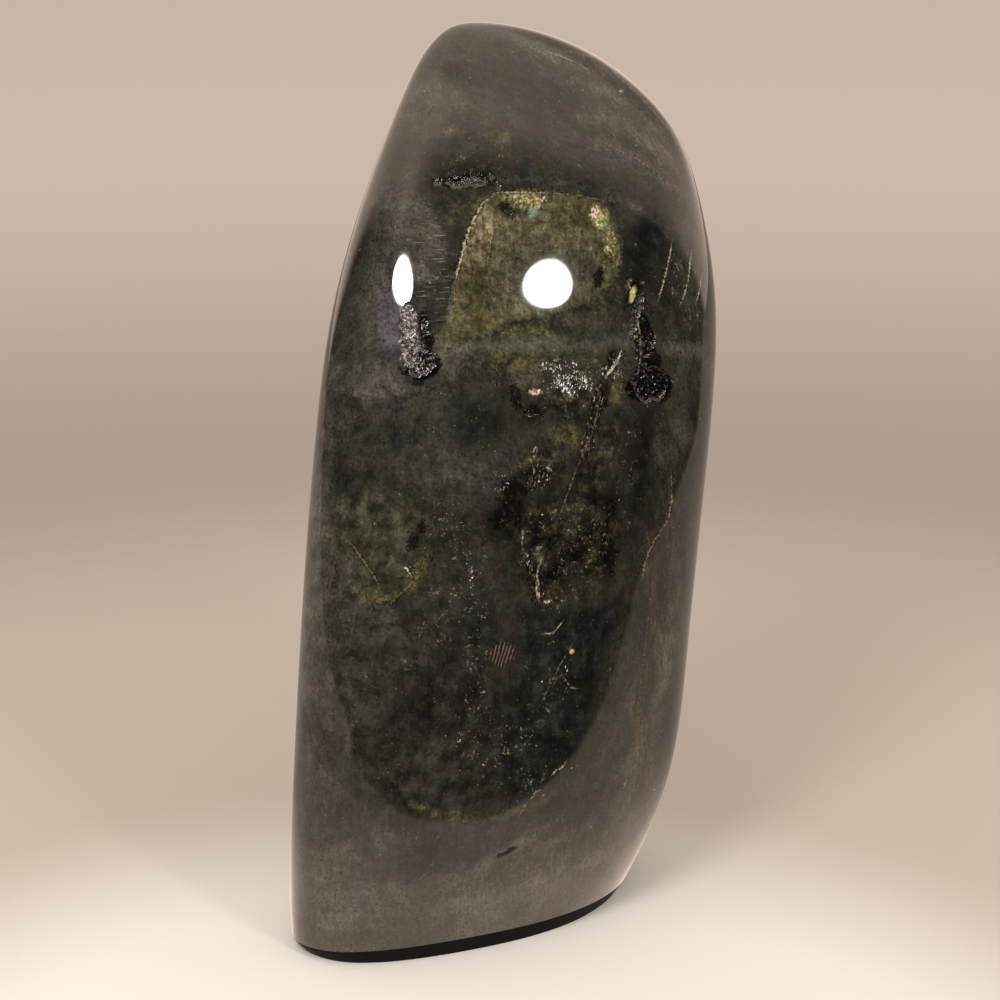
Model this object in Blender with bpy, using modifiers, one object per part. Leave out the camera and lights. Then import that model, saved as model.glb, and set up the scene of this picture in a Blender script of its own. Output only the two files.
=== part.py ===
"""Polished labradorite freeform: one leaning stone that stands on a flat sawn foot.

Metres, +Z up. The origin is the middle of the foot, and the broad polished face looks towards -Y.
"""

import math
from typing import NamedTuple

import bmesh
import bpy
from mathutils import Matrix, Vector, noise
from mathutils.bvhtree import BVHTree

MM = 0.001


class Section(NamedTuple):
    """A level cut through the stone, in millimetres.

    left and right are the outline's limits in X, and front and back are its limits in Y. slant is how far
    the cut is skewed: the share of the half depth by which its right end lies further back than its middle.
    """

    height: float
    left: float
    right: float
    front: float
    back: float
    slant: float


# Driving dimensions, in millimetres.
SECTIONS = [
    Section(height=1.0, left=-24.0, right=26.2, front=-20.6, back=20.5, slant=0.52),
    Section(height=8.0, left=-24.3, right=29.8, front=-21.0, back=22.5, slant=0.50),
    Section(height=20.0, left=-23.8, right=34.0, front=-20.6, back=24.5, slant=0.48),
    Section(height=38.0, left=-22.8, right=35.3, front=-18.4, back=26.5, slant=0.46),
    Section(height=56.0, left=-21.6, right=37.0, front=-14.6, back=28.0, slant=0.46),
    Section(height=73.0, left=-20.1, right=38.7, front=-9.8, back=29.3, slant=0.45),
    Section(height=88.0, left=-18.3, right=39.2, front=-4.2, back=30.5, slant=0.44),
    Section(height=101.0, left=-14.6, right=36.6, front=3.0, back=31.8, slant=0.43),
    Section(height=112.0, left=-10.2, right=33.4, front=10.2, back=32.8, slant=0.42),
    Section(height=120.4, left=-6.4, right=23.8, front=16.2, back=32.2, slant=0.40),
]
TOP = Vector((0.8, 23.6, 128.3))
FOOT_CHAMFER = 1.1

# The chamfer reaches higher under the broad face, where the foot's edge is cut away most.
FRONT_UNDERCUT = 1.4

# A section is an ellipse at 2 and comes nearer to a box as this grows.
SQUARENESS = 2.4

# The net that the sections are laid on: cells across the width, and cells across the depth.
CELLS_WIDE = 6
CELLS_DEEP = 4
SMOOTHING = 2
FOOT_CREASE = 1.0
CHAMFER_CREASE = 0.75


class Pit(NamedTuple):
    """An open pit where soft grains broke out of the polish: X and Z of its middle, and its half sizes."""

    name: str
    x: float
    z: float
    half_width: float
    half_height: float
    depth: float
    turn_deg: float


PITS = [
    Pit("left_pit", x=-4.4, z=85.6, half_width=2.4, half_height=2.4, depth=0.5, turn_deg=0),
    Pit("left_pit_tail", x=-6.0, z=89.6, half_width=0.9, half_height=2.3, depth=0.3, turn_deg=4),
    Pit("shoulder_pit", x=2.2, z=108.0, half_width=3.6, half_height=0.7, depth=0.4, turn_deg=2),
    Pit("right_fissure", x=26.0, z=89.5, half_width=0.7, half_height=4.2, depth=0.5, turn_deg=-14),
    Pit("right_pit", x=28.5, z=79.4, half_width=3.1, half_height=2.3, depth=0.5, turn_deg=-25),
]
PIT_ROUGHNESS = 0.3

LABRADORITE_COLOUR = (0.045, 0.047, 0.038, 1.0)
LABRADORITE_ROUGHNESS = 0.08


def clear_scene():
    for obj in list(bpy.data.objects):
        bpy.data.objects.remove(obj)


def new_collection(name):
    collection = bpy.data.collections.new(name)
    bpy.context.scene.collection.children.link(collection)
    return collection


def add_object(name, net, collection):
    mesh = bpy.data.meshes.new(name)
    net.to_mesh(mesh)
    net.free()
    obj = bpy.data.objects.new(name, mesh)
    collection.objects.link(obj)
    return obj


def squared(value):
    """A sine or cosine, pushed outwards so that the circle it draws turns squarer."""
    return math.copysign(abs(value) ** (2 / SQUARENESS), value)


def section_point(section, across, deep):
    """The point of a section at a place (across, deep) of a disc of radius 1, in millimetres."""
    half_width = (section.right - section.left) / 2
    half_depth = (section.back - section.front) / 2
    radius = math.hypot(across, deep)
    if radius > 0:
        across = radius * squared(across / radius)
        deep = radius * squared(deep / radius)
    x = section.left + half_width * (1 + across)
    skewed = section.slant * across + math.sqrt(1 - section.slant**2) * deep
    y = section.front + half_depth * (1 + skewed)
    return Vector((x, y, section.height))


def foot_section():
    """The lowest section at floor height, drawn in by the chamfer."""
    edge = SECTIONS[0]
    return Section(
        height=0.0,
        left=edge.left + FOOT_CHAMFER,
        right=edge.right - FOOT_CHAMFER,
        front=edge.front + FOOT_CHAMFER,
        back=edge.back - FOOT_CHAMFER,
        slant=edge.slant,
    )


def lattice_box(rows):
    """A cube of side 2, cut into rows up its height and into cells across its two ends."""
    net = bmesh.new()
    bmesh.ops.create_cube(net, size=2)
    for axis, cells in ((0, CELLS_WIDE), (1, CELLS_DEEP), (2, rows)):
        normal = Vector((0, 0, 0))
        normal[axis] = 1
        for step in range(1, cells):
            plane = normal * (2 * step / cells - 1)
            whole = net.verts[:] + net.edges[:] + net.faces[:]
            bmesh.ops.bisect_plane(net, geom=whole, plane_co=plane, plane_no=normal)
    return net


def crease_foot(net, row_of):
    """Keeps the foot flat, and the edge of its chamfer crisp, when the net is smoothed."""
    crease = net.edges.layers.float.new("crease_edge")
    for edge in net.edges:
        rows = {row_of(vert) for vert in edge.verts}
        on_outline = all(max(abs(vert.co.x), abs(vert.co.y)) > 0.999 for vert in edge.verts)
        if on_outline and rows == {0}:
            edge[crease] = FOOT_CREASE
        if on_outline and rows == {1}:
            edge[crease] = CHAMFER_CREASE


def stone_net():
    """The coarse net of the stone: a box whose rows take the shapes of the sections."""
    sections = [foot_section()] + SECTIONS
    last = len(sections) - 1
    net = lattice_box(last)

    def row_of(vert):
        return round((vert.co.z + 1) / 2 * last)

    crease_foot(net, row_of)
    for vert in net.verts:
        section = sections[row_of(vert)]
        across = vert.co.x * math.sqrt(1 - vert.co.y**2 / 2)
        deep = vert.co.y * math.sqrt(1 - vert.co.x**2 / 2)
        radius = min(1.0, math.hypot(across, deep))
        point = section_point(section, across, deep)
        if section is SECTIONS[0]:
            point.z += FRONT_UNDERCUT * max(0.0, -deep)
        if section is sections[last]:
            rise = (TOP.z - section.height) * (1 - radius**2)
            middle = section_point(section, 0, 0)
            towards_top = (TOP - middle) * (1 - radius)
            point += Vector((towards_top.x, towards_top.y, rise))
        vert.co = point * MM
    bmesh.ops.recalc_face_normals(net, faces=net.faces[:])
    return net


def polished_stone_material():
    material = bpy.data.materials.new("polished labradorite")
    material.use_nodes = True
    shader = material.node_tree.nodes["Principled BSDF"]
    shader.inputs["Base Color"].default_value = LABRADORITE_COLOUR
    shader.inputs["Roughness"].default_value = LABRADORITE_ROUGHNESS
    shader.inputs["Metallic"].default_value = 0.0
    return material


def build_stone(collection):
    stone = add_object("labradorite_stone", stone_net(), collection)
    stone.data.materials.append(polished_stone_material())
    stone.data.shade_smooth()
    smooth = stone.modifiers.new("polish", "SUBSURF")
    smooth.levels = SMOOTHING
    smooth.render_levels = SMOOTHING
    return stone


def stone_surface(stone):
    bpy.context.view_layer.update()
    return BVHTree.FromObject(stone, bpy.context.evaluated_depsgraph_get())


def build_pit_cutter(pit, surface, collection):
    """A rough pebble, as deep as the pit, sunk where the pit is seen from the front."""
    in_front = Vector((pit.x, -100.0, pit.z)) * MM
    place, normal, _, _ = surface.ray_cast(in_front, Vector((0, 1, 0)))
    net = bmesh.new()
    bmesh.ops.create_icosphere(net, subdivisions=2, radius=1)
    for vert in net.verts:
        vert.co *= 1 + PIT_ROUGHNESS * noise.noise(vert.co * 2 + Vector((pit.x, 0, pit.z)))
    cutter = add_object(pit.name, net, collection)
    size = Matrix.Diagonal((pit.half_width, pit.half_height, pit.depth)).to_4x4()
    cutter.data.transform(size * MM)
    cutter.location = place
    upright = normal.to_track_quat("Z", "Y")
    cutter.rotation_euler = (upright.to_matrix() @ Matrix.Rotation(math.radians(pit.turn_deg), 3, "Z")).to_euler()
    cutter.display_type = "WIRE"
    cutter.hide_render = True
    return cutter


def cut(stone, cutter):
    boolean = stone.modifiers.new(cutter.name, "BOOLEAN")
    boolean.operation = "DIFFERENCE"
    boolean.solver = "EXACT"
    boolean.object = cutter


def main():
    clear_scene()
    parts = new_collection("labradorite freeform")
    cutters = new_collection("pit cutters")
    stone = build_stone(parts)
    surface = stone_surface(stone)
    for pit in PITS:
        cut(stone, build_pit_cutter(pit, surface, cutters))


main()
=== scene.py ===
import math
from functools import partial

import bmesh
import bpy
import numpy as np
from mathutils import Matrix, Vector, noise


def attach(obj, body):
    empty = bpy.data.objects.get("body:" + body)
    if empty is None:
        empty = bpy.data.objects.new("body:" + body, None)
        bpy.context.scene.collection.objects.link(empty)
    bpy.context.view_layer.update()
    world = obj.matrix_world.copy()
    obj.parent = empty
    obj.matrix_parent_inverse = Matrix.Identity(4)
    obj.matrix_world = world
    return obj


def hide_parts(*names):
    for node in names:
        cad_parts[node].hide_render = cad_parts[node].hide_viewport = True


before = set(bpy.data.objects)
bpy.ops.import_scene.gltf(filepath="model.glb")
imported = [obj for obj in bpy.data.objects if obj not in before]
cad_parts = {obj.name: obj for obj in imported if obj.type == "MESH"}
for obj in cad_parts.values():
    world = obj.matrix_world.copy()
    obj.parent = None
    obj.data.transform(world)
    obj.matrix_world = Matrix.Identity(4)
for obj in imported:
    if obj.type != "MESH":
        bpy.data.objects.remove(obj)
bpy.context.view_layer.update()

mm = 0.001

# the setting that holds the mode, for the kinds of node that have one
modeSettings = {
    "Math": "operation", "VectorMath": "operation", "MapRange": "interpolation_type", "Mix": "data_type",
}


def linear(hexCode):
    channels = [int(hexCode[i:i + 2], 16) / 255 for i in (1, 3, 5)]
    return [c / 12.92 if c <= 0.04045 else ((c + 0.055) / 1.055) ** 2.4 for c in channels] + [1.0]


def addNode(tree, kind, inputs=(), **settings):
    # kind is the node's kind and, after a space, its mode. inputs is a list in socket order, or a
    # dictionary by socket name or number: a Mix node blends sockets 2 and 3, or colours 6 and 7.
    kind, _, mode = kind.partition(" ")
    node = tree.nodes.new("ShaderNode" + kind)
    if mode:
        settings[modeSettings[kind]] = mode
    for name, value in settings.items():
        setattr(node, name, value)
    pairs = inputs.items() if isinstance(inputs, dict) else enumerate(inputs)
    for key, value in pairs:
        if isinstance(value, bpy.types.Node):
            value = next(socket for socket in value.outputs if socket.enabled)
        if isinstance(value, bpy.types.NodeSocket):
            tree.links.new(value, node.inputs[key])
        else:
            node.inputs[key].default_value = value
    return node


def setRamp(ramp, stops):
    # stops reads "0.35 #302d28, 0.5 #38352f": each colour after its place
    elements = ramp.color_ramp.elements
    while len(elements) > 1:
        elements.remove(elements[-1])
    for index, stop in enumerate(stops.split(", ")):
        place, colour = stop.split()
        element = elements[0] if index == 0 else elements.new(float(place))
        element.position = float(place)
        element.color = linear(colour)
    return ramp


def newMaterial(name):
    # the material, what adds nodes to it, and where in the object a point lies, in millimetres
    material = bpy.data.materials.new(name)
    material.use_nodes = True
    material.node_tree.nodes.clear()
    add = partial(addNode, material.node_tree)
    place = add("VectorMath MULTIPLY", [add("TexCoord").outputs["Object"], (1 / mm,) * 3])
    return material, add, place


def addObject(name, data):
    thing = bpy.data.objects.new(name, data)
    bpy.context.scene.collection.objects.link(thing)
    return thing


# The stone's form, in millimetres: the solid's level cuts make a coarse cage that subdivision rounds off.

stone = {
    "cuts": [  # height, left, right, front, back, slant
        (1.0, -24.0, 26.2, -20.6, 20.5, 0.52),
        (8.0, -24.3, 29.8, -21.0, 22.5, 0.50),
        (20.0, -23.8, 34.0, -20.6, 24.5, 0.48),
        (38.0, -22.8, 35.3, -18.4, 26.5, 0.46),
        (56.0, -21.6, 37.0, -14.6, 28.0, 0.46),
        (73.0, -20.1, 38.7, -9.8, 29.3, 0.45),
        (88.0, -18.3, 39.2, -4.2, 30.5, 0.44),
        (101.0, -14.6, 36.6, 3.0, 31.8, 0.43),
        (112.0, -10.2, 33.4, 10.2, 32.8, 0.42),
        (120.4, -6.4, 23.8, 16.2, 32.2, 0.40),
    ],
    "top": Vector((0.8, 23.6, 128.3)),
    "footChamfer": 1.1,
    "frontUndercut": 1.4,  # how much higher the chamfer reaches under the broad face
    "squareness": 2.4,  # 2 is an ellipse, and more is nearer to a box
    "cellsWide": 6,
    "cellsDeep": 4,
    "smoothing": 4,
    "footCrease": 1.0,
    "chamferCrease": 0.75,
    "handWobble": 0.012,  # how far the hand-held wheel left the surface out of true
    "wobbleLength": 11.0,
    "wobbleFrom": 6.0,  # the height where the wobble is full, as the foot stays flat
    "frontNormal": -0.1,  # a place faces the front if its normal has less Y than this
}


def squared(value):
    return math.copysign(abs(value) ** (2 / stone["squareness"]), value)


def cutPoint(cut, across, deep):
    # the point of a level cut at a place (across, deep) of a disc of radius 1
    height, left, right, front, back, slant = cut
    radius = math.hypot(across, deep)
    if radius > 0:
        across = radius * squared(across / radius)
        deep = radius * squared(deep / radius)
    skewed = slant * across + math.sqrt(1 - slant**2) * deep
    x = left + (right - left) / 2 * (1 + across)
    return Vector((x, front + (back - front) / 2 * (1 + skewed), height))


def footCut():
    _, left, right, front, back, slant = stone["cuts"][0]
    inset = stone["footChamfer"]
    return (0.0, left + inset, right - inset, front + inset, back - inset, slant)


def latticeBox(rows):
    net = bmesh.new()
    bmesh.ops.create_cube(net, size=2)
    for axis, cells in ((0, stone["cellsWide"]), (1, stone["cellsDeep"]), (2, rows)):
        normal = Vector((0, 0, 0))
        normal[axis] = 1
        for step in range(1, cells):
            plane = normal * (2 * step / cells - 1)
            everything = net.verts[:] + net.edges[:] + net.faces[:]
            bmesh.ops.bisect_plane(net, geom=everything, plane_co=plane, plane_no=normal)
    return net


def stoneCage():
    cuts = [footCut()] + stone["cuts"]
    last = len(cuts) - 1
    net = latticeBox(last)
    crease = net.edges.layers.float.new("crease_edge")
    rowOf = {vert: round((vert.co.z + 1) / 2 * last) for vert in net.verts}
    for edge in net.edges:  # the foot stays flat and its chamfer crisp
        rows = {rowOf[vert] for vert in edge.verts}
        onOutline = all(max(abs(vert.co.x), abs(vert.co.y)) > 0.999 for vert in edge.verts)
        if onOutline and rows == {0}:
            edge[crease] = stone["footCrease"]
        if onOutline and rows == {1}:
            edge[crease] = stone["chamferCrease"]
    for vert in net.verts:
        across = vert.co.x * math.sqrt(1 - vert.co.y**2 / 2)
        deep = vert.co.y * math.sqrt(1 - vert.co.x**2 / 2)
        radius = min(1.0, math.hypot(across, deep))
        cut = cuts[rowOf[vert]]
        point = cutPoint(cut, across, deep)
        if rowOf[vert] == 1:
            point.z += stone["frontUndercut"] * max(0.0, -deep)
        if cut is cuts[last]:  # the top is drawn up to its crown
            towardsTop = (stone["top"] - cutPoint(cut, 0, 0)) * (1 - radius)
            rise = (stone["top"].z - cut[0]) * (1 - radius**2)
            point += Vector((towardsTop.x, towardsTop.y, rise))
        vert.co = point
    # the foot and its chamfer take the sawn material, whose near black is a painted shade
    for face in net.faces:  # the foot and its chamfer stay as sawn
        face.material_index = int(all(rowOf[vert] < 2 for vert in face.verts))
    bmesh.ops.recalc_face_normals(net, faces=net.faces[:])
    return net


def roundedForm(materials):
    cage = stoneCage()
    mesh = bpy.data.meshes.new("stone cage")
    cage.to_mesh(mesh)
    cage.free()
    for material in materials:
        mesh.materials.append(material)
    form = addObject("stone cage", mesh)
    smooth = form.modifiers.new("polish", "SUBSURF")
    smooth.levels = stone["smoothing"]
    smooth.render_levels = stone["smoothing"]
    bpy.context.view_layer.update()
    rounded = bpy.data.meshes.new_from_object(form.evaluated_get(bpy.context.evaluated_depsgraph_get()))
    bpy.data.objects.remove(form)
    rounded.shade_smooth()
    return rounded


# Open pits and torn grain, as (x, z, half width, half height, turn, depth) seen from the front, in
# millimetres and degrees. The first five are also cut in the solid.

pitSpots = [
    (-4.4, 85.6, 2.4, 2.4, 0, 0.5), (-6, 89.6, 0.9, 2.3, 4, 0.3), (2.2, 108, 3.6, 0.7, 2, 0.4),
    (26, 89.5, 0.7, 4.2, -14, 0.5), (28.5, 79.4, 3.1, 2.3, -25, 0.5), (-3.8, 89.6, 0.6, 1.8, 4, 0.1),
    (24.9, 93.8, 0.5, 1.1, -12, 0.35), (27.4, 84.8, 1.2, 3, -18, 0.28), (-1.6, 107.9, 0.9, 0.3, 0, 0.3),
    (6.6, 107.2, 0.9, 0.4, -20, 0.3), (6.9, 69.2, 1.6, 2, 0, 0.22), (11.9, 69, 2.2, 1.7, 15, 0.12),
    (11.9, 55.5, 0.9, 2.8, 6, 0.28), (17, 61.4, 1.4, 0.9, -10, 0.2), (21.4, 57, 0.8, 2.4, 5, 0.2),
    (6, 44.4, 1.6, 1.4, 0, 0.15), (23.1, 82, 0.5, 1.9, -28, 0.2), (20.6, 77.4, 0.6, 2.2, -14, 0.2),
    (11.3, 77.6, 1.1, 0.8, 0, 0.1), (8.8, 79.9, 0.6, 1.6, 20, 0.08), (16.2, 81.4, 2.4, 1.4, -8, 0.12),
    (-5.2, 61, 0.5, 0.9, -25, 0.12), (-4.4, 63.2, 0.4, 0.6, 10, 0.12), (7.4, 15.5, 2.2, 0.45, 22, 0.3),
    (31.2, 62, 0.25, 3.4, -4, 0.15),
]
pits = {
    "margin": 0.35,  # how far around a pit the mesh is made finer
    "finer": 3,
    "lip": 0.35,  # width of a pit's broken edge
    "grain": 1.9,  # lumps per millimetre in a pit's floor
    "ragged": 0.35,  # how far the grain moves a pit's edge
    "uneven": 0.5,  # how far a pit is out of round, as a share of its half size
    "floor": (0.55, 0.9),  # its depth between the lumps, as a share, and what the lumps add
}


def spotReach(x, z, middleX, middleZ, halfWidth, halfHeight, turn=0):
    # how far inside an ellipse each point lies, and less than 0 outside
    turn = math.radians(turn)
    right = (x - middleX) * math.cos(turn) + (z - middleZ) * math.sin(turn)
    up = (z - middleZ) * math.cos(turn) - (x - middleX) * math.sin(turn)
    return (1 - np.hypot(right / halfWidth, up / halfHeight)) * min(halfWidth, halfHeight)


def smoothStep(value, low, high):
    share = np.clip((value - low) / (high - low), 0, 1)
    return share * share * (3 - 2 * share)


def meshPoints(mesh):
    # every point, its normal, and whether it faces the front
    points = np.array([vert.co for vert in mesh.vertices])
    normals = np.array([normal.vector for normal in mesh.vertex_normals])
    return points, normals, normals[:, 1] < stone["frontNormal"]


def refineWhere(mesh, near, cuts):
    net = bmesh.new()
    net.from_mesh(mesh)
    net.verts.ensure_lookup_table()
    faces = {face for index in np.flatnonzero(near) for face in net.verts[int(index)].link_faces}
    edges = list({edge for face in faces for edge in face.edges})
    bmesh.ops.subdivide_edges(net, edges=edges, cuts=cuts, use_grid_fill=True, smooth=1.0)
    net.to_mesh(mesh)
    net.free()


def refineStone(mesh):
    points, _, inFront = meshPoints(mesh)
    coarseCount = len(points)
    nearPit = np.zeros(coarseCount, bool)
    for x, z, halfWidth, halfHeight, turn, _ in pitSpots:
        wider, taller = halfWidth + pits["margin"], halfHeight + pits["margin"]
        nearPit |= spotReach(points[:, 0], points[:, 2], x, z, wider, taller, turn) > 0
    refineWhere(mesh, nearPit & inFront, pits["finer"])
    points, _, inFront = meshPoints(mesh)
    nearSeam = inFront & (seamReach(points[:, 0], points[:, 2])[1] < seams["nearby"])
    nearSeam[coarseCount:] = False  # the pits are fine enough
    refineWhere(mesh, nearSeam, seams["finer"])


def carve(mesh):
    # sinks the pits, and returns how deep each point is sunk
    points, normals, inFront = meshPoints(mesh)
    sunk = np.zeros(len(points))
    least, lumps = pits["floor"]
    for *spot, depth in pitSpots:
        reach = spotReach(points[:, 0], points[:, 2], *spot)
        outOfRound = pits["uneven"] * min(spot[2:4])
        for index in np.flatnonzero(inFront & (reach > -pits["lip"])):
            place = Vector(points[index]) * pits["grain"]
            ragged = reach[index] + pits["ragged"] * noise.fractal(place * 0.6, 0.8, 2.0, 3)
            ragged += outOfRound * noise.noise(place * 0.3)
            floor = least + lumps * abs(noise.fractal(place, 0.7, 2.1, 4))
            edge = float(smoothStep(ragged, 0, pits["lip"]))
            sunk[index] = max(sunk[index], depth * edge * min(1.0, floor))
    wobble = np.array([noise.noise(Vector(point) / stone["wobbleLength"]) for point in points])
    wobble *= stone["handWobble"] * np.minimum(1.0, points[:, 2] / stone["wobbleFrom"])
    points += normals * (wobble - sunk)[:, None]
    mesh.vertices.foreach_set("co", points.ravel())
    mesh.update()
    return sunk


# What shows in the stone, in millimetres seen from the front: areas with their outlines, bands with their
# half widths, and spots as (x, z, half width, half height), with a turn if they lean.

areas = [
    ("greyFeldspar", [(-18.6, 50.8), (-7.2, 51.4), (-3.1, 46.4), (-4.5, 40.9), (-6.9, 39), (-10, 34),
        (-14.3, 30.2), (-19.9, 30.4)]),
    ("footGrey", [(-22, 30), (-16.8, 30), (-15, 25), (-10, 21.5), (-5, 17), (-9, 0.5), (-24, 0.5),
        (-24, 14)]),
    ("deep", [(8.1, 52.3), (15.2, 49.9), (22.4, 50), (24.4, 50.6), (22.6, 43.6), (20.2, 35.6),
        (18.4, 29.5), (15.3, 25.1), (8.1, 23.4), (6.7, 29.6), (7.4, 38.2), (9.5, 45.1)]),
    ("dusk", [(-3.8, 46.4), (-7.3, 41), (-9.7, 37.9), (-11.5, 33), (-13.5, 27), (-8.4, 23), (2.5, 22.7),
        (8.7, 26.8), (8.7, 38.3), (3.9, 44.4), (-0.3, 47.6)]),
    ("oliveFlash", [(-15.7, 65.6), (-11.1, 67.1), (-6.5, 66.3), (-3.3, 64.2), (-3.1, 60.8),
        (-4.5, 56.8), (-7.2, 53.8), (-10.3, 53.1), (-13.1, 54.3), (-15.2, 58.3)]),
    ("goldFlash", [(3.6, 105.2), (6.1, 106.2), (9.5, 106.2), (15.2, 105.8), (19.8, 104.8),
        (22.4, 102.4), (24, 98.2), (23.2, 94.6), (19, 91.4), (13.1, 90.4), (8, 89.6), (3.6, 87.9),
        (-1.6, 88.2), (-0.6, 90.6), (0.3, 94.7), (1.4, 98.7), (2.2, 101.5)]),
    ("tanColumn", [(4.3, 105.1), (3, 103.1), (1.9, 100.7), (1.2, 98), (0.9, 96.4), (3, 96), (4.6, 97.2),
        (5.2, 99.4), (5.9, 102.4), (5.6, 104.6)]),
    ("moss", [(7.8, 63), (10.9, 65.2), (17.3, 66), (22.6, 64.4), (24.4, 59.6), (23.1, 55.4),
        (20.6, 53.8), (16.6, 54.2), (14.9, 51.8), (12.3, 50.4), (11.1, 53.4), (10.6, 57.6), (8.8, 59.8)]),
    ("splinters", [(22.7, 84.9), (23.7, 84.4), (23.2, 82.7), (21.9, 80.9), (20.8, 79.5), (21.4, 78.6),
        (20.4, 76.8), (19.7, 74.4), (20.2, 72.3), (19.1, 70.4), (18, 69.1), (17.1, 69.8), (18, 72.2),
        (18.7, 74.5), (19.4, 77.9), (19.9, 79.8), (20.8, 82.1), (21.8, 83.9)]),
    ("torn", [(-4.7, 91.2), (-3.4, 91.5), (-2.9, 89.2), (-2.5, 86.6), (-1.5, 84.8), (-1.8, 83.5),
        (-3.7, 82.8), (-6.5, 83), (-7.5, 84.2), (-5.8, 85.1), (-4.5, 86.6), (-4.3, 88.5)]),
    ("torn", [(26.2, 90.2), (27.4, 89.2), (28.2, 87.2), (28.9, 84.2), (29.9, 81.6), (31.5, 78.8),
        (31.4, 77), (29.6, 76.6), (27.6, 77.4), (25.2, 77.8), (24.2, 79.4), (25.6, 81), (26.2, 83.2),
        (25.9, 85.6), (26.4, 87.8)]),
    # torn grain under the left lamp's highlight: grey, with pale speckles that are painted glints of that
    # lamp
    ("tornGrey", [(-7.1, 92.2), (-6, 92.4), (-5.2, 91.7), (-4.9, 89.2), (-4.7, 86.6), (-5.3, 84.5),
        (-6.7, 83.8), (-7.2, 86.6), (-7.4, 89.7)]),
    ("glint", [(12, 84.3), (14.6, 84.7), (17.2, 84.1), (19.4, 82.3), (20.8, 80.3), (19.7, 78.9),
        (17.2, 78.5), (15.1, 79.2), (13.4, 80.7), (12.3, 82.4)]),
]
bands = [
    ("footGrey", 1.6, [(-16.4, 86), (-17.4, 78.5), (-18.2, 66), (-19.4, 50), (-20.6, 38)]),
    ("oliveArc", 0.5, [(-13.4, 54.6), (-12.1, 53.9), (-9.6, 53.5), (-6.9, 54.4), (-4.9, 56.4), (-4, 58.6)]),
    ("oliveArc", 0.3, [(-6, 24.4), (-3.9, 23.4), (1, 21.9), (6.7, 21.2), (11.7, 21.9), (15, 23.3)]),
    ("paleStreak", 1.2, [(-18.6, 6.4), (-4.7, 8.4), (2.4, 8.4), (9.6, 8.9), (16.1, 9.6), (22, 11.4),
        (27, 16)]),
    ("paleStreak", 0.7, [(18.8, 115.4), (22.4, 114.4), (26, 112.7), (29.7, 110.1), (33.4, 106.2)]),
    ("paleStreak", 0.3, [(17.3, 119.7), (22.6, 117.9), (27.6, 114.6), (31, 110.8)]),
    ("paleStreak", 0.3, [(20.9, 112.2), (26.7, 109.1), (31.1, 105.2)]),
    ("paleStreak", 0.8, [(-16.6, 84), (-17.6, 76), (-18.4, 66), (-19.4, 54)]),
    ("paleBand", 0.7, [(-2.2, 86.6), (2.5, 86.8), (9.5, 86.8), (16.5, 86.4), (23.7, 85.6), (29.5, 84.4),
        (35.5, 82.2)]),
    # a painted highlight: the lavender-grey lower edge of the pale room's reflection, just above the gold
    # flash
    ("lavender", 0.3, [(6, 107.8), (9.5, 107.8), (15.2, 107.1), (19.5, 106.2), (23.8, 104.3),
        (28.1, 101.8), (31.3, 98.6)]),
    ("splinters", 0.35, [(10.4, 58.6), (11, 56), (11.8, 53), (13.6, 51), (16, 51.8)]),
]
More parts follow.
